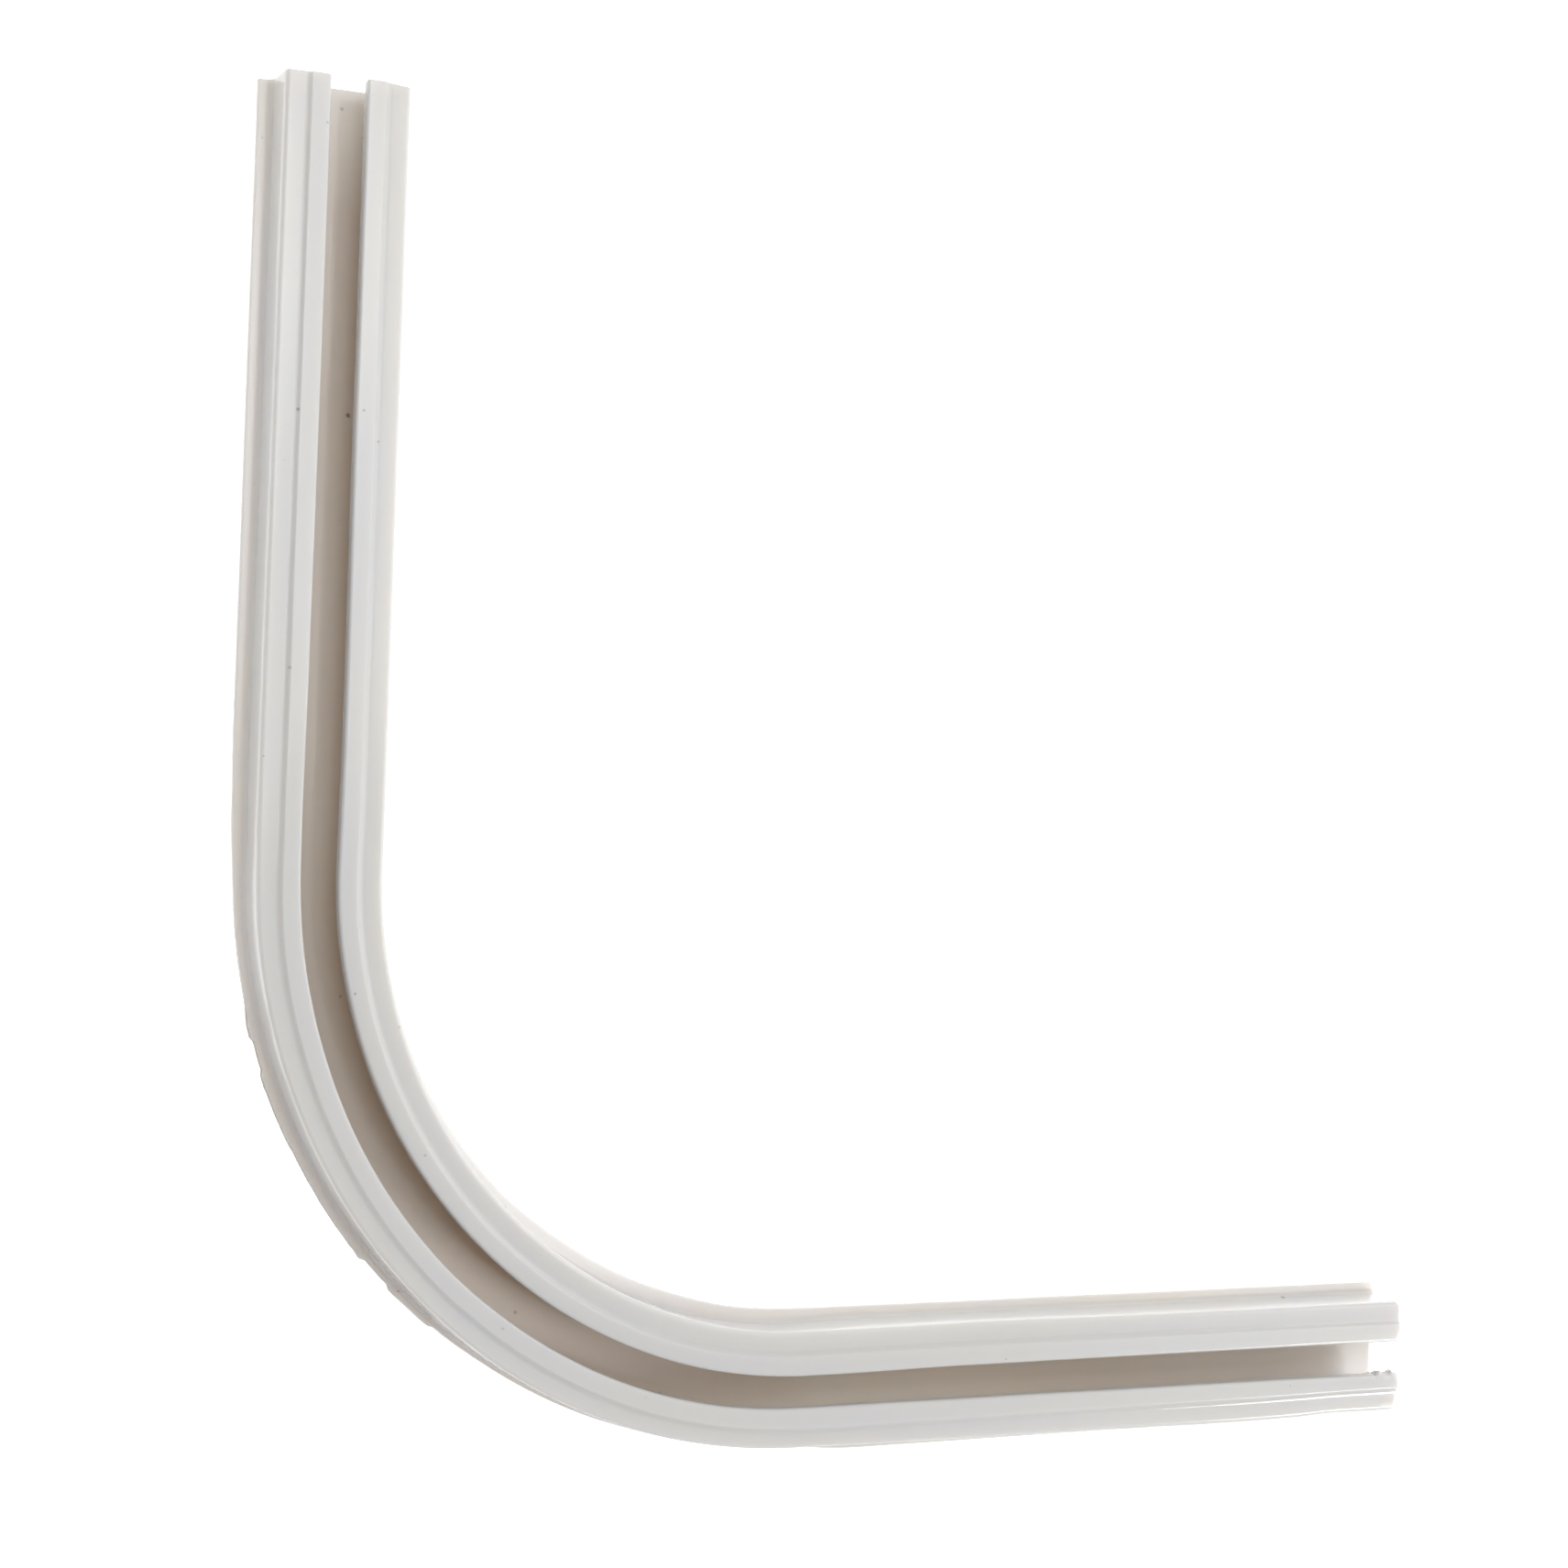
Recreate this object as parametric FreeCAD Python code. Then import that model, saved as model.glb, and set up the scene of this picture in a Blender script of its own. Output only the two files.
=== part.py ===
import FreeCAD, Part
import math
import os

# A corner piece of white plastic curtain track, extruded as one straight
# section and bent through a right angle. It lies on its flat back with the
# open slot upwards. All lengths are in millimetres and angles in degrees.

# Run of the track, measured along the middle of the slot
first_leg_length = 125.0
second_leg_length = 123.5
bend_radius = 87.5
bend_angle = 90.0

# Back plate, whose edges stand out as flanges beyond the walls
plate_width = 25.0
plate_thickness = 1.2
flange_edge_thickness = 1.0
flange_root_thickness = 1.5
flange_edge_radius = 0.3
sharp = 0.0
crease_radius = 1.0

# Side walls, which lean in a little towards the lips
width_at_foot = 20.7
width_at_lips = 20.2
wall_thickness = 1.4
inside_radius = 0.5

# Lips over the channel, each with a raised strip beside the slot
lip_height = 10.1
lip_thickness = 1.8
lip_corner_radius = 0.8
slot_width = 6.2
raised_strip_width = 2.9
raised_strip_rise = 0.5
raised_strip_fall = 0.1
step_run = 0.65
step_round_radius = 0.4
step_cove_radius = 1.5
slot_edge_radius = 0.6
slot_under_radius = 0.3

# The flange is drawn in round the outside of the bend, further past its middle
rim_draw_in = 0.6
deep_draw_in = 1.8
draw_in_lead = 17.0
draw_in_angle = 6.0
deep_draw_angle = 50.0

# Nicks in the drawn rim, each from one angle round the bend to another
nick_depth = 0.45
nick_angles = ((16.4, 19.6), (40.1, 43.9))

# Slanting saw cuts at the corner of one lip at each end
saw_slip_width = 3.2
first_saw_slip = 0.6
second_saw_slip = 0.35

# Distance that a cutter reaches past the material
clear = 1.0

# The bend turns about a vertical line, from where the first leg meets it
bend_middle = FreeCAD.Vector(bend_radius, 0, 0)
upwards = FreeCAD.Vector(0, 0, 1)


def corner_points(before, corner, after, radius):
    """Start, middle and end of the arc that rounds one corner, all one if sharp."""
    towards_start = (before - corner).normalize()
    towards_end = (after - corner).normalize()
    half_angle = towards_start.getAngle(towards_end) / 2
    setback = radius / math.tan(half_angle)
    bisector = (towards_start + towards_end).normalize()
    centre = corner + bisector * (radius / math.sin(half_angle))
    start = corner + towards_start * setback
    middle = centre - bisector * radius
    end = corner + towards_end * setback
    return start, middle, end


def rounded_outline(corners):
    """A closed wire through corners given as (across, height, radius)."""
    points = [FreeCAD.Vector(across, 0, height) for across, height, radius in corners]
    following = points[1:] + points[:1]
    arcs = []
    for index, (across, height, radius) in enumerate(corners):
        arcs.append(corner_points(points[index - 1], points[index], following[index], radius))
    edges = []
    for arc, next_arc in zip(arcs, arcs[1:] + arcs[:1]):
        start, middle, end = arc
        if start != end:
            edges.append(Part.Arc(start, middle, end).toShape())
        edges.append(Part.LineSegment(end, next_arc[0]).toShape())
    return Part.Wire(edges)


def half_section():
    """Corners of the section on one side of the slot, from back to channel."""
    plate_edge = plate_width / 2
    foot = width_at_foot / 2
    shoulder = width_at_lips / 2
    slot_edge = slot_width / 2
    step_top = slot_edge + raised_strip_width
    step_foot = step_top + step_run
    strip_height = lip_height + raised_strip_rise
    lip_underside = lip_height - lip_thickness
    return [
        (plate_edge, 0.0, sharp),
        (plate_edge, flange_edge_thickness, flange_edge_radius),
        (foot, flange_root_thickness, crease_radius),
        (shoulder, lip_height, lip_corner_radius),
        (step_foot, lip_height, step_cove_radius),
        (step_top, strip_height, step_round_radius),
        (slot_edge, strip_height - raised_strip_fall, slot_edge_radius),
        (slot_edge, lip_underside, slot_under_radius),
        (shoulder - wall_thickness, lip_underside, inside_radius),
        (foot - wall_thickness, plate_thickness, inside_radius),
    ]


def section_face():
    """The whole section, standing where the first leg meets the bend."""
    inner_side = half_section()
    outer_side = [(-across, height, radius) for across, height, radius in reversed(inner_side)]
    return Part.Face(rounded_outline(inner_side + outer_side))


def turned(shape, angle):
    """A copy of a shape, turned about the middle of the bend."""
    copy = shape.copy()
    copy.rotate(bend_middle, upwards, angle)
    return copy


def bent_track():
    """Leg, bend and leg, with one section throughout."""
    start = section_face()
    first_leg = start.extrude(FreeCAD.Vector(0, first_leg_length, 0))
    bend = start.revolve(bend_middle, upwards, bend_angle)
    second_leg = turned(start.extrude(FreeCAD.Vector(0, -second_leg_length, 0)), bend_angle)
    return first_leg.fuse([bend, second_leg]).removeSplitter()


def round_bend(radius, angle, height):
    """A point beside the bend, by its distance and angle from the middle."""
    turn = math.radians(180 + angle)
    across = bend_radius + radius * math.cos(turn)
    return FreeCAD.Vector(across, radius * math.sin(turn), height)


def band_outside(points, start, end, radius):
    """A flat face between an arc round the bend and points beyond it."""
    middle = round_bend(radius, (start + end) / 2, -clear)
    arc = Part.Arc(round_bend(radius, start, -clear), middle, round_bend(radius, end, -clear))
    corners = [arc.EndPoint] + points + [arc.StartPoint]
    sides = Part.makePolygon(corners).Edges
    return Part.Face(Part.Wire([arc.toShape()] + sides))


def through_flange(face):
    """A cutter as tall as the flange, with a margin above and below."""
    return face.extrude(upwards * (flange_root_thickness + 2 * clear))


def beyond_rim(distance):
    """Where the drawn rim ends on the second leg, and the corner outside it."""
    far = bend_radius + plate_width / 2 + distance
    after = Part.Vertex(-plate_width / 2, -draw_in_lead, -clear)
    after_far = Part.Vertex(bend_radius - far, -draw_in_lead, -clear)
    corner = round_bend(far / math.cos(math.radians(bend_angle / 2)), bend_angle / 2, -clear)
    return [turned(after, bend_angle).Point, turned(after_far, bend_angle).Point, corner]


def drawn_rim():
    """What the outer flange lacks where it is drawn in round the bend."""
    rim = bend_radius + plate_width / 2
    before = FreeCAD.Vector(bend_radius - rim, draw_in_lead, -clear)
    before_far = before - FreeCAD.Vector(clear, 0, 0)
    points = beyond_rim(clear) + [before_far, before]
    end = bend_angle - draw_in_angle
    return through_flange(band_outside(points, draw_in_angle, end, rim - rim_draw_in))


def deeply_drawn_rim():
    """What the flange lacks where it all but reaches the wall."""
    rim = bend_radius + plate_width / 2
    points = beyond_rim(clear) + [round_bend(rim + clear, deep_draw_angle, -clear)]
    end = bend_angle - draw_in_angle
    return through_flange(band_outside(points, deep_draw_angle, end, rim - deep_draw_in))


def rim_nick(start, end):
    """What is missing from the drawn rim between two angles of the bend."""
    rim = bend_radius + plate_width / 2 - rim_draw_in
    far = rim + rim_draw_in + clear
    points = [round_bend(far, end, -clear), round_bend(far, start, -clear)]
    return through_flange(band_outside(points, start, end, rim - nick_depth))


def saw_slip(slip):
    """A wedge off the corner of the inner lip, for an end that faces +Y."""
    shoulder = width_at_lips / 2 + clear
    inner = width_at_lips / 2 - saw_slip_width
    reach = slip * (saw_slip_width + clear) / saw_slip_width
    underside = lip_height - lip_thickness
    corners = [
        FreeCAD.Vector(inner, 0, underside),
        FreeCAD.Vector(shoulder, -reach, underside),
        FreeCAD.Vector(shoulder, clear, underside),
        FreeCAD.Vector(inner, clear, underside),
    ]
    wedge = Part.Face(Part.makePolygon(corners + corners[:1]))
    return wedge.extrude(upwards * (lip_thickness + raised_strip_rise + clear))


def first_end_slip():
    """The slanting cut on the inner lip, at the end of the first leg."""
    cutter = saw_slip(first_saw_slip)
    cutter.translate(FreeCAD.Vector(0, first_leg_length, 0))
    return cutter


def second_end_slip():
    """The slanting cut on the outer lip, at the end of the second leg."""
    cutter = saw_slip(second_saw_slip)
    cutter.rotate(FreeCAD.Vector(0, 0, 0), upwards, 180)
    cutter.translate(FreeCAD.Vector(0, -second_leg_length, 0))
    return turned(cutter, bend_angle)


def finished_track():
    """The bent track with its drawn and nicked rim and its slanting cuts."""
    cutters = [drawn_rim(), deeply_drawn_rim(), first_end_slip(), second_end_slip()]
    for start, end in nick_angles:
        cutters.append(rim_nick(start, end))
    return bent_track().cut(cutters).Solids[0]


def centred(shape):
    """The shape moved so that the origin is under the middle of its box."""
    box = shape.optimalBoundingBox(False)
    copy = shape.copy()
    copy.translate(FreeCAD.Vector(-box.Center.x, -box.Center.y, -box.ZMin))
    return copy


os.makedirs("parts", exist_ok=True)
track = centred(finished_track())
track.exportStep("parts/curtain_track.step")
print("curtain_track:", round(track.Volume), "cubic mm, valid", track.isValid())
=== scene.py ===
import bmesh
import bpy
from math import atan2, cos, degrees, hypot, radians, sin, tan
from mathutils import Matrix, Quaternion, Vector, noise


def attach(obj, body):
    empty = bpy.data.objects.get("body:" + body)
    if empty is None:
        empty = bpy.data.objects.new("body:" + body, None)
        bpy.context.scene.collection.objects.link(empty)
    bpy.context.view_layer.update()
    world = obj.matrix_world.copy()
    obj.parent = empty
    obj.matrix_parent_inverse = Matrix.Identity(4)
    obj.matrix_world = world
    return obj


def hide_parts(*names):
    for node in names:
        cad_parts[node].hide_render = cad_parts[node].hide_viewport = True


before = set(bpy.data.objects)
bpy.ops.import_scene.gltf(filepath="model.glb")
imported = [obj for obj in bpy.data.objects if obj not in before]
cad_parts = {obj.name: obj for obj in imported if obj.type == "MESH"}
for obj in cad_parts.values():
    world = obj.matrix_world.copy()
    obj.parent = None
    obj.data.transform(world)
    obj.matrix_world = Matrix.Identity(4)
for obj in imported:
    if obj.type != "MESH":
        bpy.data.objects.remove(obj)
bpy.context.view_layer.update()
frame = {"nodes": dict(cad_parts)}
print("frame loaded:", ", ".join(frame["nodes"]))

mm = 0.001

# the run of the track
# lengths in mm, measured along the middle of the slot from the end at the top of the picture
run = {
    "firstLeg": 125.0,
    "secondLeg": 123.5,
    "bendRadius": 87.5,
    "bendMiddle": (-11.75, -12.5),
    "bendTurn": 90.0,
    "endLength": 6.0,  # rings stand close together in this last stretch
    "endRings": 15,
    "legRings": 60,
    "bendRings": 120,
}
bendLength = run["bendRadius"] * radians(run["bendTurn"])
wholeRun = run["firstLeg"] + bendLength + run["secondLeg"]


def unroll(spot):
    # where a point of the bent track would be if the track were straight: across, along, height
    x = spot.x / mm - run["bendMiddle"][0]
    y = spot.y / mm - run["bendMiddle"][1]
    height = spot.z / mm
    if y >= 0 and x < 0:
        return x + run["bendRadius"], run["firstLeg"] - y, height
    if x >= 0:
        return y + run["bendRadius"], run["firstLeg"] + bendLength + x, height
    angle = atan2(-y, -x)
    return run["bendRadius"] - hypot(x, y), run["firstLeg"] + run["bendRadius"] * angle, height


def rollUp(across, along, height):
    # and back again, in metres
    out = run["bendRadius"] - across
    if along <= run["firstLeg"]:
        x, y = -out, run["firstLeg"] - along
    elif along <= run["firstLeg"] + bendLength:
        angle = (along - run["firstLeg"]) / run["bendRadius"]
        x, y = -out * cos(angle), -out * sin(angle)
    else:
        x, y = along - run["firstLeg"] - bendLength, -out
    return Vector((run["bendMiddle"][0] + x, run["bendMiddle"][1] + y, height)) * mm


def turnAt(along):
    # degrees round the bend, less than 0 on the first leg and more than 90 on the second
    return degrees((along - run["firstLeg"]) / run["bendRadius"])


def ease(value, start, end):
    part = min(1.0, max(0.0, (value - start) / (end - start)))
    return part * part * (3 - 2 * part)


# section
# one half of it, from the back into the channel: across, height, corner radius and steps in the corner
section = {
    "half": [
        (12.5, 0.0, 0.3, 3),
        (12.5, 1.0, 0.3, 3),
        (12.02, 1.11, 0, 0),  # flat places, where the drawn rim has a ridge
        (11.75, 1.17, 0, 0),
        (10.35, 1.5, 1.3, 6),
        (10.1, 10.1, 0.8, 6),
        (6.65, 10.1, 1.5, 5),
        (6.0, 10.6, 0.4, 4),
        (3.1, 10.5, 0.5, 6),
        (3.1, 8.3, 0.3, 3),
        (8.7, 8.3, 0.5, 4),
        (8.95, 1.2, 0.5, 4),
    ],
    "longestEdge": 1.3,
    "cutEdges": (0.1, 0.24),  # the sawn ends have had their arris taken off, the second one more
}


def makeSection(bm):
    half = section["half"]
    mirrored = [(-corner[0], *corner[1:]) for corner in reversed(half)]
    corners = half + mirrored
    points = [Vector((across, height)) for across, height, radius, steps in corners]
    verts = [bm.verts.new(rollUp(point.x, 0.0, point.y)) for point in points]
    bm.faces.new(verts)
    for index, vert in enumerate(verts):
        radius, steps = corners[index][2:]
        if not radius:
            continue
        before = (points[index - 1] - points[index]).normalized()
        after = (points[(index + 1) % len(points)] - points[index]).normalized()
        setback = radius / tan(before.angle(after) / 2)
        bmesh.ops.bevel(bm, geom=[vert], offset=setback * mm, offset_type="OFFSET",
                        segments=steps, profile=0.5, affect="VERTICES", material=-1)
    for edge in bm.edges[:]:
        cuts = int(edge.calc_length() / mm / section["longestEdge"])
        if cuts:
            bmesh.ops.subdivide_edges(bm, edges=[edge], cuts=cuts)


def sweepOn(bm, geom, steps, move=(0, 0, 0), turn=0.0):
    middle = Vector((*run["bendMiddle"], 0)) * mm
    step = Vector(move) * mm / steps
    return bmesh.ops.spin(bm, geom=geom, cent=middle, axis=(0, 0, 1), dvec=step,
                          angle=radians(turn), steps=steps)["geom_last"]


def sweepTrack(bm):
    endLength, endRings = run["endLength"], run["endRings"]
    last = bm.verts[:] + bm.edges[:] + bm.faces[:]
    last = sweepOn(bm, last, endRings, move=(0, -endLength, 0))
    last = sweepOn(bm, last, run["legRings"], move=(0, endLength - run["firstLeg"], 0))
    last = sweepOn(bm, last, run["bendRings"], turn=run["bendTurn"])
    last = sweepOn(bm, last, run["legRings"], move=(run["secondLeg"] - endLength, 0, 0))
    sweepOn(bm, last, endRings, move=(endLength, 0, 0))


# how the bending changed the section
# degrees round the bend, and how far that line has moved towards the inner side, in mm
drift = {
    "plate": {
        -12.5: [(-14, 0.0), (-6, 0.2), (4, 0.85), (13, 0.95), (15, 0.55), (21, 0.55), (30, 0.85),
                (40, 0.85), (48, 1.1), (49.4, 1.15), (50.0, 1.55), (57, 1.75), (84, 1.75), (100, 0.0),
                (142, 0.0), (152, 0.5), (162, 0.9)],
        -10.35: [(-12, 0.1), (5, 0.3), (15, 0.5), (42, 0.6), (50, 0.35), (84, 0.3), (100, 0.0)],
        10.35: [(-12, 0.0), (45, 0.1), (88, 0.0), (100, 0.3)],
        12.5: [(-12, 0.0), (30, 0.15), (46, 0.3), (56, 0.6), (72, 0.6), (84, 0.2), (95, 0.0)],
    },
    "lips": {
        -10.1: [(-70, -0.05), (-40, -0.13), (-20, -0.17), (-5, -0.22), (3, 0.05), (15, 0.15), (39, 0.28),
                (60, 0.33), (80, 0.5), (92, 0.5), (103, 0.27), (116, 0.12), (127, -0.05), (136, -0.2),
                (143, -0.33), (150, -0.3), (156, -0.2), (161, 0.15), (168, 0.1)],
        -6.3: [(0, -0.05), (12, -0.15), (45, -0.17), (52, 0.0), (84, 0.0), (94, -0.2), (108, -0.1),
               (120, 0.0), (150, 0.1), (165, 0.3)],
        -3.1: [(-82, 0.12), (-65, 0.2), (-40, 0.17), (-20, 0.08), (-5, -0.1), (5, 0.05), (14, 0.1),
               (30, -0.02), (44, -0.04), (55, 0.2), (80, 0.3), (90, 0.42), (116, 0.38), (135, 0.25),
               (150, 0.2), (165, 0.1)],
        3.1: [(-82, -0.25), (-50, -0.2), (-16, 0.02), (2, -0.18), (15, -0.1), (40, -0.06), (60, -0.1),
              (80, -0.25), (93, -0.38), (110, -0.12), (135, -0.08), (165, -0.1)],
        6.3: [(-82, -0.1), (-12, 0.1), (3, -0.1), (69, -0.12), (84, 0.0), (100, 0.2), (120, 0.3)],
        10.1: [(-82, 0.0), (-30, 0.17), (-13, 0.25), (5, 0.25), (20, 0.24), (60, 0.34), (84, 0.2),
               (97, 0.2), (115, 0.38), (135, 0.2), (150, 0.16), (168, 0.25)],
    },
    "plateTop": 1.2,  # the plate's drift gives way to the lips' from here up to the lips
    "lipTop": 10.1,
    "tremble": 0.05,
    "trembleLength": 22,
    "trembleHeight": 12,
    "trembleFrom": 15,
}


def between(pairs, value):
    if value <= pairs[0][0]:
        return pairs[0][1]
    for (start, first), (end, second) in zip(pairs, pairs[1:]):
        if value <= end:
            return first + (second - first) * ease(value, start, end)
    return pairs[-1][1]


def driftAt(level, across, turn):
    lines = [(line, between(pairs, turn)) for line, pairs in drift[level].items()]
    if across <= lines[0][0]:
        return lines[0][1]
    for (start, first), (end, second) in zip(lines, lines[1:]):
        if across <= end:
            return first + (second - first) * (across - start) / (end - start)
    return lines[-1][1]


def bendShape(across, along, height):
    turn = turnAt(along)
    up = ease(height, drift["plateTop"], drift["lipTop"])
    shift = driftAt("plate", across, turn) * (1 - up) + driftAt("lips", across, turn) * up
    side = 40.0 if across > 0 else 0.0  # so that the two sides don't tremble alike
    grain = noise.noise((along / drift["trembleLength"], side, height / drift["trembleHeight"]))
    shift += drift["tremble"] * grain * ease(along, 0, drift["trembleFrom"])
    return max(across + shift, -section["half"][0][0])


# rim of the outer flange round the bend
rim = {
    "nicks": [(16.4, 19.6, 0.4), (40.1, 43.9, 0.45)],  # from, to and depth
    "nickSide": 0.25,  # degrees over which a nick gets its depth
    "steps": (49.4, 49.7, 50.0),  # where the flange suddenly narrows
    "lift": 0.16,
    "lifted": (12.5, 46.0),
    "ragged": 0.1,
    "flap": (39.2, 40.0, 0.15),
    "worked": (5, 60),  # nothing happens to the rim outside these degrees
    "root": 11.0,  # the flange is worked from here out
    "reach": 1.5,
    "upperSide": 0.6,  # only what is above this height is lifted
}


def rimShape(across, along, height, edge):
    # edge is how near the vertex is to the rim, from 0 to 1
    turn = turnAt(along)
    near = ease(edge, 0.0, 0.4)
    if not rim["worked"][0] <= turn <= rim["worked"][1]:
        return across, height
    side = rim["nickSide"]
    for start, end, depth in rim["nicks"]:
        inside = ease(turn, start - side, start + side) * (1 - ease(turn, end - side, end + side))
        across += depth * inside * near
    start, end, out = rim["flap"]
    across -= out * ease(turn, start, end) * (1 - ease(turn, end, end + side)) * near
    start, end = rim["lifted"]
    worked = ease(turn, start - 1.5, start + 1.5) * (1 - ease(turn, end, end + 8))
    across += rim["ragged"] * worked * near * noise.noise((along / 1.7, 3.1, 7.7))
    wave = 1 + 0.6 * noise.noise((along / 2.3, 9.2, 1.4))
    lift = rim["lift"] * worked * ease(edge, 0.45, 0.85) * wave
    return across, height + (lift if height > rim["upperSide"] else 0.0)


# sawn ends
# the saw ran off line at one lip of each end
sawCut = {
    "firstSlip": 0.36,
    "secondSlip": 0.42,
    "slipAcross": (5.1, 11.5),
    "lipHeights": (7.4, 9.0),
    "taken": 4.5,
    "rounded": 0.35,
    "burr": 0.35,
    "burrLength": 6.5,
    "crumbs": [(381.7, 1.3), (384.7, 1.2)],  # where along the run, and how far they stand out
}


def sawShape(across, along, height):
    lip = ease(height, *sawCut["lipHeights"])
    slip = ease(across, *sawCut["slipAcross"]) * lip * sawCut["firstSlip"]
    along += slip * (1 - ease(along, 0, sawCut["taken"]))
    left = wholeRun - along
    slip = ease(-across, *sawCut["slipAcross"]) * lip * sawCut["secondSlip"]
    along -= slip * (1 - ease(left, 0, sawCut["taken"]))
    corner = max(ease(-abs(across), -3.9, -3.1), ease(abs(across), 9.2, 10.1)) * lip
    return along - sawCut["rounded"] * corner * (1 - ease(left, 0, sawCut["taken"]))


def burrShape(across, along, height):
    # crumbling plastic along the slot, at the second end of the outer lip
    near = ease(across, -3.7, -3.3) * ease(-across, 2.0, 3.0) * ease(height, 8.0, 8.6)
    near *= 1 - ease(wholeRun - along, sawCut["burrLength"] - 1.0, sawCut["burrLength"])
    if not near:
        return across, height
    grain = noise.noise((along / 0.7, height / 0.8, 5.2))
    grain += 0.5 * noise.noise((along / 0.35, height / 0.4, 1.2))
    for place, size in sawCut["crumbs"]:
        grain += size * (1 - ease(abs(along - place), 0.1, 0.7))
    return across + sawCut["burr"] * near * grain, height - 0.1 * near


def makeTrack():
    bm = bmesh.new()
    makeSection(bm)
    sweepTrack(bm)
    bmesh.ops.remove_doubles(bm, verts=bm.verts[:], dist=0.01 * mm)
    turns = list(rim["steps"])
    for start, end, depth in rim["nicks"]:
        turns += [start - 0.3, start, start + 0.3, end - 0.3, end, end + 0.3]
    for turn in turns:
        bmesh.ops.bisect_plane(bm, geom=bm.verts[:] + bm.edges[:] + bm.faces[:],
                               plane_co=Vector((*run["bendMiddle"], 0)) * mm,
                               plane_no=(-sin(radians(turn)), cos(radians(turn)), 0), dist=0.002 * mm)
    ends = [face for face in bm.faces if len(face.verts) > 40]  # no other face has many corners
    ends.sort(key=lambda face: unroll(face.calc_center_median())[1])
    for face in ends:
        face.material_index = 1
    bmesh.ops.recalc_face_normals(bm, faces=bm.faces[:])
    for face, size in zip(ends, section["cutEdges"]):
        bmesh.ops.bevel(bm, geom=face.edges[:], offset=size * mm, offset_type="OFFSET",
                        segments=3, profile=0.5, affect="EDGES", material=0)
    straight = bm.verts.layers.float_vector.new("straight")
    channel = bm.verts.layers.float.new("channel")
    rimShadow = bm.verts.layers.float.new("paintedRimShadow")
    for vert in bm.verts:
        across, along, height = unroll(vert.co)
        vert[straight] = Vector((across, along, height)) * mm
        # the channel's floor alone, which gets painted shade in the plastic
        vert[channel] = 1.0 if abs(across) < 9.0 and 1.0 < height < 1.6 else 0.0  # its floor alone
        turn = turnAt(along)
        # painted shadow: a dark line along the outer flange's rim in the bend, where the rim is lifted
        # off the floor
        vert[rimShadow] = ease(-across, 12.35, 12.5) * ease(turn, 12, 14) * (1 - ease(turn, 45, 50))
        moved = bendShape(across, along, height)
        if across < -rim["root"]:
            moved, height = rimShape(moved, along, height, (-across - rim["root"]) / rim["reach"])
        if across < 0 and wholeRun - along < sawCut["burrLength"]:
            moved, height = burrShape(moved, along, height)
        vert.co = rollUp(moved, sawShape(across, along, height), height)
    mesh = bpy.data.meshes.new("bentTrack")
    bm.to_mesh(mesh)
    bm.free()
    track = bpy.data.objects.new("bentTrack", mesh)
    bpy.context.scene.collection.objects.link(track)
    for face in mesh.polygons:
        face.use_smooth = face.material_index == 0
    return track


# plastic
plastic = {
    "colour": (0.724, 0.717, 0.696, 1),
    "cooler": (0.712, 0.708, 0.71, 1),
    "inside": [  # painted shade on the channel's floor along the run, from 0 at the first end to 1 at the second: darker and warmer where the lips shade it and light bounces inside, lighter near the open ends
        (0.0, (0.72, 0.71, 0.69, 1)),
        (0.05, (0.60, 0.575, 0.545, 1)),
        (0.30, (0.59, 0.57, 0.54, 1)),
        (0.40, (0.54, 0.515, 0.48, 1)),
        (0.62, (0.53, 0.505, 0.475, 1)),
        (0.70, (0.63, 0.62, 0.595, 1)),
        (0.78, (0.62, 0.605, 0.58, 1)),
        (0.84, (0.597, 0.58, 0.553, 1)),
        (0.94, (0.607, 0.592, 0.567, 1)),
        (0.98, (0.645, 0.637, 0.62, 1)),
    ],
    "channelShadeEnd": (0.383, 0.375),  # metres along the run, where the painted shade is gone and where it is still whole, near the second end where the key lamp reaches the floor
    # dark colour of the specks of dirt and the saw marks, used also for the painted shadow along the rim
    "dirtAndShade": (0.27, 0.24, 0.21, 1),
    "sawn": (0.62, 0.61, 0.59, 1),
    "roughness": 0.13,
    "soft": 0.9,  # share of the light that spreads under the skin
    "softReach": (2.9, 2.4, 2.0),  # how far it spreads in mm, as red, green and blue
    "marks": [  # across, along, height, radius in mm and strength
        (4.07, 52.2, 1.2, 0.45, 0.9),
        (-6.31, 53.1, 10.3, 0.4, 0.6),
        (4.24, 52.4, 10.6, 0.3, 0.5),
        (6.71, 57.1, 10.2, 0.3, 0.45),
        (5.91, 17.0, 10.4, 0.3, 0.4),
        (3.97, 145.9, 10.6, 0.35, 0.5),
        (3.57, 147.2, 1.2, 0.35, 0.5),
        (5.08, 176.3, 10.6, 0.3, 0.4),
        (-11.19, 193.5, 1.2, 0.3, 0.8),
        (-4.58, 207.0, 10.6, 0.35, 0.25),
        (10.64, 253.4, 9.5, 0.3, 0.4),
        (10.33, 364.9, 2.4, 0.6, 0.7),
        (-1.14, 210.8, 1.2, 0.35, 0.6),
        (-2.8, 222.4, 10.0, 0.35, 0.9),
        (-11.6, 9.4, 1.1, 0.3, 0.5),
        (1.1, 3.1, 1.2, 0.4, 0.35),
        (5.05, 7.3, 1.2, 0.35, 0.6),
        (-3.6, 7.7, 10.5, 0.25, 0.4),
        (-9.9, 97.9, 1.3, 0.3, 0.4),
        (-6.15, 93.6, 10.4, 0.35, 0.35),
        (-9.6, 107.7, 10.0, 0.25, 0.4),
        (9.5, 153.8, 10.1, 0.3, 0.3),
        (-2.7, 381.7, 10.1, 0.65, 0.65),
        (-2.7, 384.7, 10.1, 0.6, 0.8),
    ],
}


def put(tree, kind, x, y, **values):
    node = tree.nodes.new(kind)
    node.location = (x, y)
    for name, value in values.items():
        setattr(node, name, value)
    return node


def wire(tree, source, target):
    tree.links.new(source, target)


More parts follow.
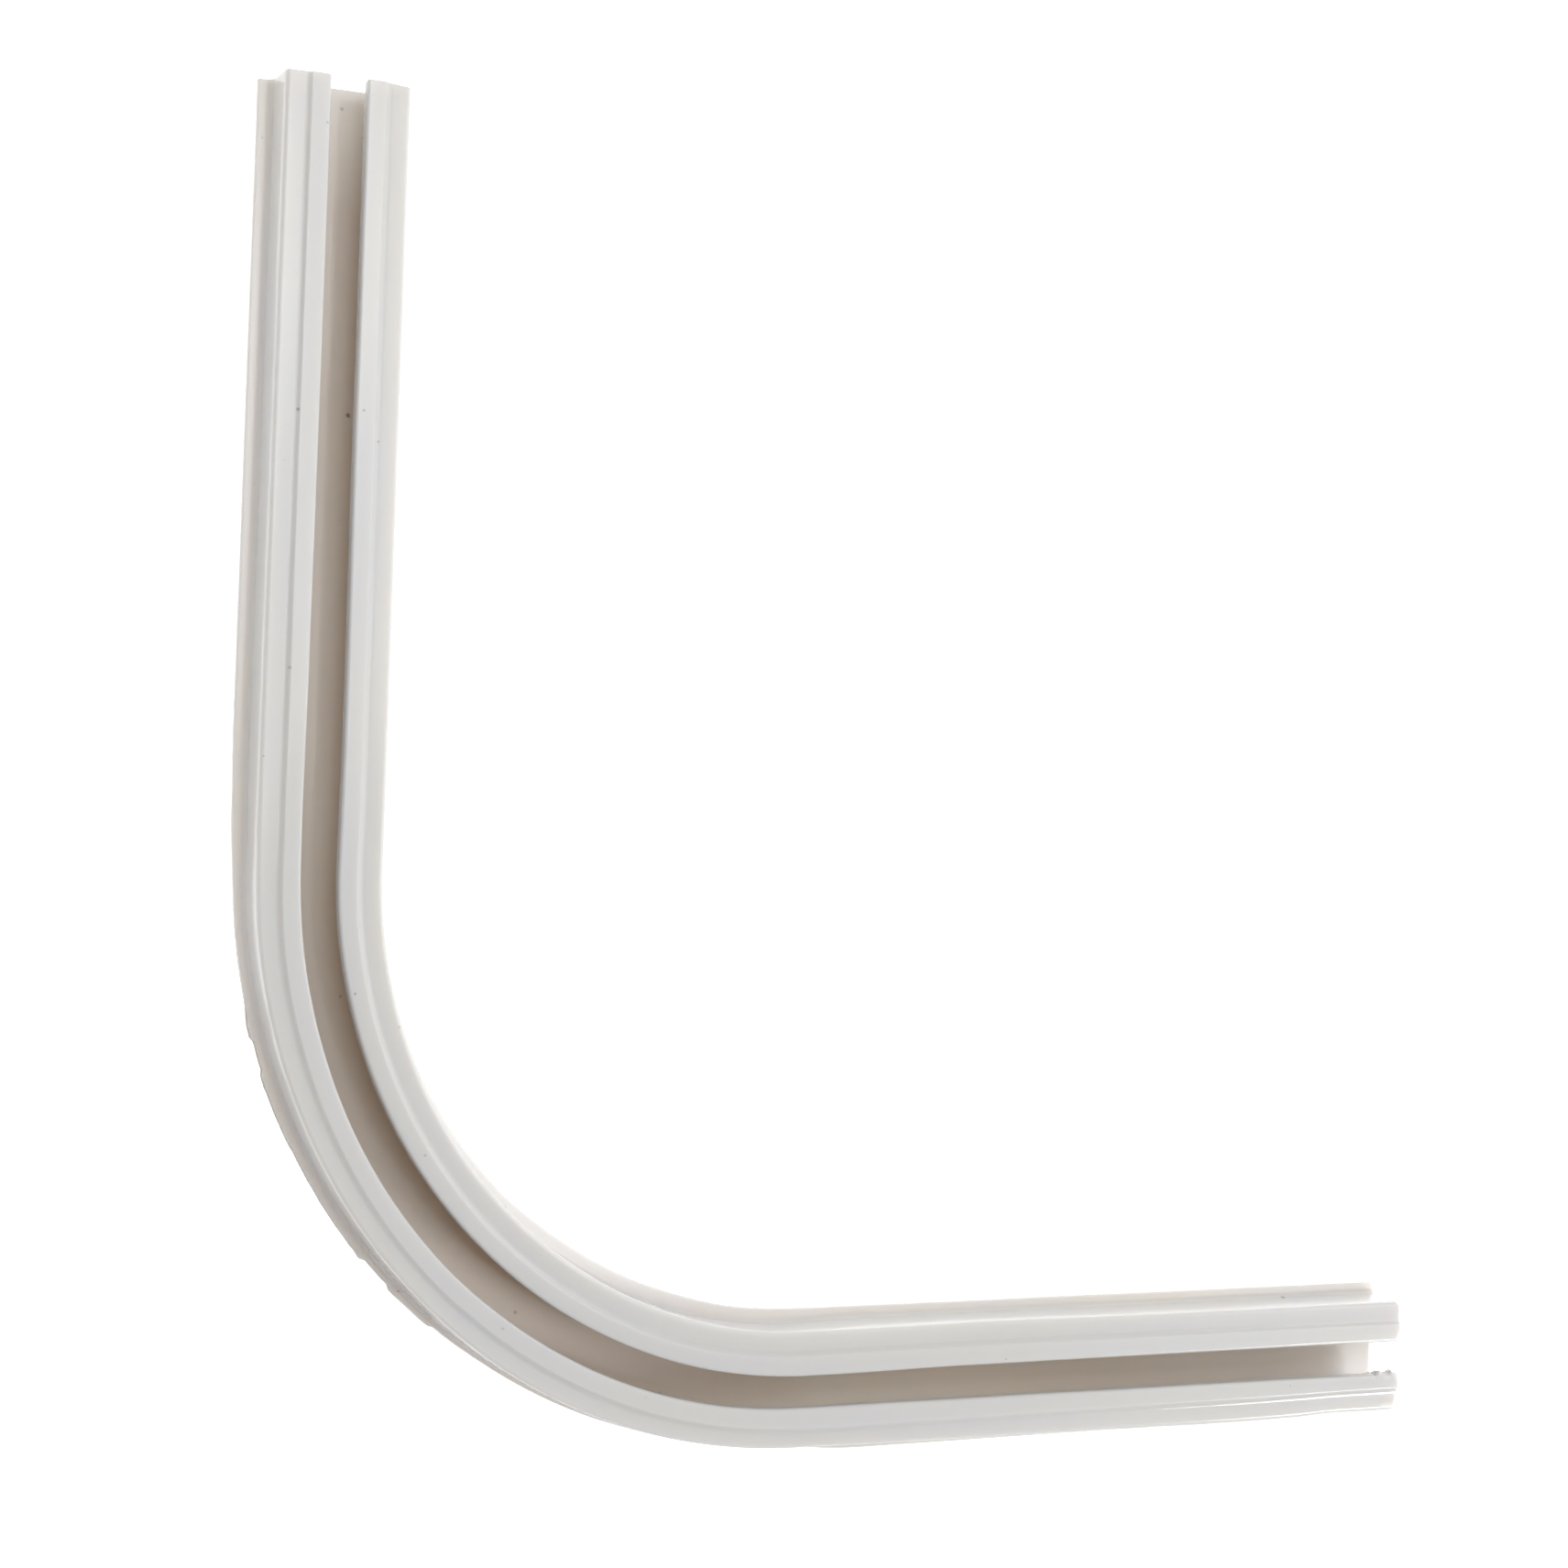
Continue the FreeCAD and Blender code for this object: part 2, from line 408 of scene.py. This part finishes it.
def mathNode(tree, operation, x, y, first, second=None):
    node = put(tree, "ShaderNodeMath", x, y, operation=operation)
    for index, value in enumerate((first, second)):
        if value is None:
            continue
        if hasattr(value, "is_output"):
            wire(tree, value, node.inputs[index])
        else:
            node.inputs[index].default_value = value
    return node.outputs[0]


def mixColour(tree, x, y, factor, first, second):
    node = put(tree, "ShaderNodeMix", x, y, data_type="RGBA")
    for socket, value in ((node.inputs[0], factor), (node.inputs[6], first), (node.inputs[7], second)):
        if hasattr(value, "is_output"):
            wire(tree, value, socket)
        else:
            socket.default_value = value
    return node.outputs[2]


def mapRange(tree, x, y, value, limits, to=(0.0, 1.0)):
    node = put(tree, "ShaderNodeMapRange", x, y)
    wire(tree, value, node.inputs["Value"])
    node.inputs["From Min"].default_value, node.inputs["From Max"].default_value = limits
    node.inputs["To Min"].default_value, node.inputs["To Max"].default_value = to
    return node.outputs[0]


def noiseNode(tree, x, y, place, scale, detail, stretch=(1, 1, 1)):
    # the stretch is across, along and in height
    mapping = put(tree, "ShaderNodeMapping", x - 200, y)
    mapping.inputs["Scale"].default_value = stretch
    wire(tree, place, mapping.inputs["Vector"])
    node = put(tree, "ShaderNodeTexNoise", x, y)
    node.inputs["Scale"].default_value = scale
    node.inputs["Detail"].default_value = detail
    wire(tree, mapping.outputs[0], node.inputs["Vector"])
    return node.outputs[0]


def newGroup(name, outputs):
    group = bpy.data.node_groups.new(name, "ShaderNodeTree")
    group.interface.new_socket("Place", in_out="INPUT", socket_type="NodeSocketVector")
    for output in outputs:
        group.interface.new_socket(output, in_out="OUTPUT", socket_type="NodeSocketFloat")
    return group, put(group, "NodeGroupInput", -1000, 0), put(group, "NodeGroupOutput", 600, 0)


def dieLineGroup():
    # faint lines that the die leaves along the run, and broad patches of tone
    group, inside, outside = newGroup("dieLines", ("Height", "Tone"))
    place = inside.outputs["Place"]
    wire(group, noiseNode(group, -400, 100, place, 2600, 3, (1, 0.012, 1)), outside.inputs["Height"])
    wire(group, noiseNode(group, -400, -200, place, 150, 2, (1, 0.12, 1)), outside.inputs["Tone"])
    return group


def speckGroup():
    # specks of dust and grit, a few at listed places and fine ones all over
    group, inside, outside = newGroup("specks", ("Mask",))
    place = inside.outputs["Place"]
    wander = put(group, "ShaderNodeTexNoise", -800, 300)
    wander.inputs["Scale"].default_value = 1800
    wire(group, place, wander.inputs["Vector"])
    warped = put(group, "ShaderNodeVectorMath", -600, 300, operation="MULTIPLY_ADD")
    wire(group, wander.outputs["Color"], warped.inputs[0])
    warped.inputs[1].default_value = (0.0005, 0.0005, 0.0005)
    wire(group, place, warped.inputs[2])
    cells = put(group, "ShaderNodeTexVoronoi", -600, -300)
    cells.inputs["Scale"].default_value = 260
    wire(group, place, cells.inputs["Vector"])
    pick = put(group, "ShaderNodeSeparateColor", -400, -300)
    wire(group, cells.outputs["Color"], pick.inputs[0])
    chosen = mapRange(group, -200, -300, pick.outputs[0], (0.86, 0.9), (0.0, 0.35))
    dot = mapRange(group, -200, -500, cells.outputs["Distance"], (0.035, 0.06), (1.0, 0.0))
    mask = mathNode(group, "MULTIPLY", 0, -300, chosen, dot)
    for index, (across, along, height, radius, strength) in enumerate(plastic["marks"]):
        y = 200 + 180 * index
        away = put(group, "ShaderNodeVectorMath", -400, y, operation="DISTANCE")
        wire(group, warped.outputs[0], away.inputs[0])
        away.inputs[1].default_value = Vector((across + 0.25, along + 0.25, height + 0.25)) * mm
        limits = (0.5 * radius * mm, radius * mm)
        spot = mapRange(group, -200, y, away.outputs["Value"], limits, (strength, 0.0))
        mask = mathNode(group, "MAXIMUM", 0, y, mask, spot)
    wire(group, mask, outside.inputs["Mask"])
    return group


def useGroup(tree, group, x, y, place):
    node = put(tree, "ShaderNodeGroup", x, y, node_tree=group)
    wire(tree, place, node.inputs["Place"])
    return node


def newMaterial(name):
    material = bpy.data.materials.new(name)
    material.use_nodes = True
    tree = material.node_tree
    place = put(tree, "ShaderNodeAttribute", -1400, 0, attribute_name="straight").outputs["Vector"]
    shader = tree.nodes["Principled BSDF"]
    shader.inputs["Subsurface Weight"].default_value = plastic["soft"]
    shader.inputs["Subsurface Radius"].default_value = plastic["softReach"]
    shader.inputs["Subsurface Scale"].default_value = mm
    return material, tree, shader, place


def addBump(tree, shader, height, strength, distance):
    bump = put(tree, "ShaderNodeBump", -300, -300)
    bump.inputs["Strength"].default_value = strength
    bump.inputs["Distance"].default_value = distance
    wire(tree, height, bump.inputs["Height"])
    wire(tree, bump.outputs[0], shader.inputs["Normal"])


def makePlastic(dieLines, specks):
    material, tree, shader, place = newMaterial("whitePlastic")
    die = useGroup(tree, dieLines, -1100, 0, place)
    grit = useGroup(tree, specks, -1100, -200, place)
    patch = mapRange(tree, -800, 200, die.outputs["Tone"], (0.4, 0.62))
    skin = mixColour(tree, -600, 200, patch, plastic["colour"], plastic["cooler"])
    # painted shade: the channel's floor is darkened and warmed where the lips shade it, apart from its
    # second end
    along = put(tree, "ShaderNodeSeparateXYZ", -1100, -400)
    wire(tree, place, along.inputs[0])
    shadeAlongRun = mapRange(tree, -900, -400, along.outputs["Y"], plastic["channelShadeEnd"])
    channel = put(tree, "ShaderNodeAttribute", -1100, -600, attribute_name="channel")
    shadedChannel = mathNode(tree, "MULTIPLY", -700, -400, shadeAlongRun, channel.outputs["Fac"])
    ramp = put(tree, "ShaderNodeValToRGB", -700, 500)
    wire(tree, mapRange(tree, -900, 500, along.outputs["Y"], (0.0, wholeRun * mm)), ramp.inputs["Fac"])
    for index, (share, tone) in enumerate(plastic["inside"]):
        stop = ramp.color_ramp.elements[0] if not index else ramp.color_ramp.elements.new(share)
        stop.position, stop.color = share, tone
    ramp.color_ramp.elements.remove(ramp.color_ramp.elements[-1])
    skin = mixColour(tree, -400, 200, shadedChannel, skin, ramp.outputs["Color"])
    # painted shadow along the lifted rim, mixed in with the dark specks of dirt
    rimShadow = put(tree, "ShaderNodeAttribute", -700, -600, attribute_name="paintedRimShadow")
    darkening = mathNode(tree, "MAXIMUM", -500, -500, grit.outputs["Mask"], rimShadow.outputs["Fac"])
    skin = mixColour(tree, -200, 200, darkening, skin, plastic["dirtAndShade"])
    wire(tree, skin, shader.inputs["Base Color"])
    gloss = mapRange(tree, -400, 0, die.outputs["Tone"], (0.3, 0.7),
                     (plastic["roughness"] - 0.02, plastic["roughness"] + 0.03))
    wire(tree, gloss, shader.inputs["Roughness"])
    addBump(tree, shader, die.outputs["Height"], 0.08, 0.0001)
    return material


def makeSawn(specks):
    # rough ends, with the marks of the saw across them
    material, tree, shader, place = newMaterial("sawnPlastic")
    grit = useGroup(tree, specks, -1100, -200, place)
    cuts = noiseNode(tree, -800, 200, place, 3000, 4, (0.08, 1, 1))
    tone = mapRange(tree, -500, 100, cuts, (0.3, 0.75), (0.0, 0.25))
    darkening = mathNode(tree, "MAXIMUM", -300, 0, tone, grit.outputs["Mask"])
    skin = mixColour(tree, -200, 200, darkening, plastic["sawn"], plastic["dirtAndShade"])
    wire(tree, skin, shader.inputs["Base Color"])
    shader.inputs["Roughness"].default_value = 0.6
    addBump(tree, shader, cuts, 0.5, 0.0001)
    return material


# studio
studio = {
    "eye": (-216.656, 3.600, 447.407),  # mm
    "aim": (-15.040, 3.540, 0.0),
    "roll": 92.18,
    "lens": 65.0,
    "sensor": 36.0,
    "world": 0.25,
    "floorSeen": 0.75,  # how strongly the floor glows where it is seen
    "floorLights": 0.54,  # and how strongly it lights the track
    "floorSize": 3.0,
    "floorDrop": 0.05,  # mm below the track, so that the two don't touch
    "lamps": {  # place in metres, side in metres, watts
        "key": ((0.600, -0.420, 0.523), 0.22, 2.95),
        "keyNear": ((0.280, -0.196, 0.244), 0.18, 0.033),
        "fillAbove": ((-0.055, 0.10, 0.38), 0.25, 0.30),
        "fillLeft": ((-0.15, 0.16, 0.45), 0.30, 0.58),
        "fillRight": ((0.6, 0.1, 0.45), 0.40, 0.84),
    },
}


def makeCamera():
    data = bpy.data.cameras.new("camera")
    camera = bpy.data.objects.new("camera", data)
    bpy.context.scene.collection.objects.link(camera)
    bpy.context.scene.camera = camera
    eye, aim = Vector(studio["eye"]) * mm, Vector(studio["aim"]) * mm
    look = (aim - eye).to_track_quat("-Z", "Y")
    camera.rotation_mode = "QUATERNION"
    camera.rotation_quaternion = look @ Quaternion((0, 0, 1), radians(studio["roll"]))
    camera.location = eye
    data.sensor_width = studio["sensor"]
    data.lens = studio["lens"]
    data.clip_start = 0.01
    data.clip_end = 20


def makeLamp(name, place, size, power):
    data = bpy.data.lights.new(name, "AREA")
    data.size = size
    data.energy = power
    lamp = bpy.data.objects.new(name, data)
    bpy.context.scene.collection.objects.link(lamp)
    lamp.location = place
    lamp.rotation_mode = "QUATERNION"
    lamp.rotation_quaternion = (-Vector(place)).to_track_quat("-Z", "Y")
    lamp.visible_camera = False


def seenDirectly(tree, x, y):
    # camera, glossy and transmission rays see the background white
    path = put(tree, "ShaderNodeLightPath", x, y)
    camera, glossy = path.outputs["Is Camera Ray"], path.outputs["Is Glossy Ray"]
    seen = mathNode(tree, "MAXIMUM", x + 200, y, camera, glossy)
    return mathNode(tree, "MAXIMUM", x + 400, y, seen, path.outputs["Is Transmission Ray"])


def makeWorld():
    world = bpy.data.worlds.new("studio")
    bpy.context.scene.world = world
    world.use_nodes = True
    tree = world.node_tree
    back = tree.nodes["Background"]
    glow = mapRange(tree, -200, 0, seenDirectly(tree, -800, 0), (0.0, 1.0), (studio["world"], 1.0))
    wire(tree, glow, back.inputs["Strength"])
    back.inputs["Color"].default_value = (1, 1, 1, 1)


def makeFloor():
    bm = bmesh.new()
    bmesh.ops.create_grid(bm, x_segments=1, y_segments=1, size=studio["floorSize"])
    bmesh.ops.translate(bm, verts=bm.verts[:], vec=(0, 0, -studio["floorDrop"] * mm))
    mesh = bpy.data.meshes.new("floor")
    bm.to_mesh(mesh)
    bm.free()
    floor = bpy.data.objects.new("floor", mesh)
    bpy.context.scene.collection.objects.link(floor)
    material = bpy.data.materials.new("paleFloor")
    material.use_nodes = True
    tree = material.node_tree
    shader = tree.nodes["Principled BSDF"]
    shader.inputs["Base Color"].default_value = (0.95, 0.95, 0.95, 1)
    shader.inputs["Roughness"].default_value = 0.9
    shader.inputs["Emission Color"].default_value = (1, 1, 1, 1)
    glows = (studio["floorLights"], studio["floorSeen"])
    glow = mapRange(tree, -200, -300, seenDirectly(tree, -800, -300), (0.0, 1.0), glows)
    wire(tree, glow, shader.inputs["Emission Strength"])
    mesh.materials.append(material)


makeCamera()
track = makeTrack()
print("track made:", len(track.data.polygons), "faces")
specks = speckGroup()
whitePlastic = makePlastic(dieLineGroup(), specks)
sawnPlastic = makeSawn(specks)
track.data.materials.append(whitePlastic)
track.data.materials.append(sawnPlastic)
weighted = track.modifiers.new("weightedNormals", "WEIGHTED_NORMAL")
weighted.keep_sharp = True
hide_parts("curtain_track")
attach(track, "root")
print("track finished")

makeWorld()
makeFloor()
for name, (place, size, power) in studio["lamps"].items():
    makeLamp(name, place, size, power)
bpy.context.scene.view_settings.view_transform = "Standard"
print("studio made")
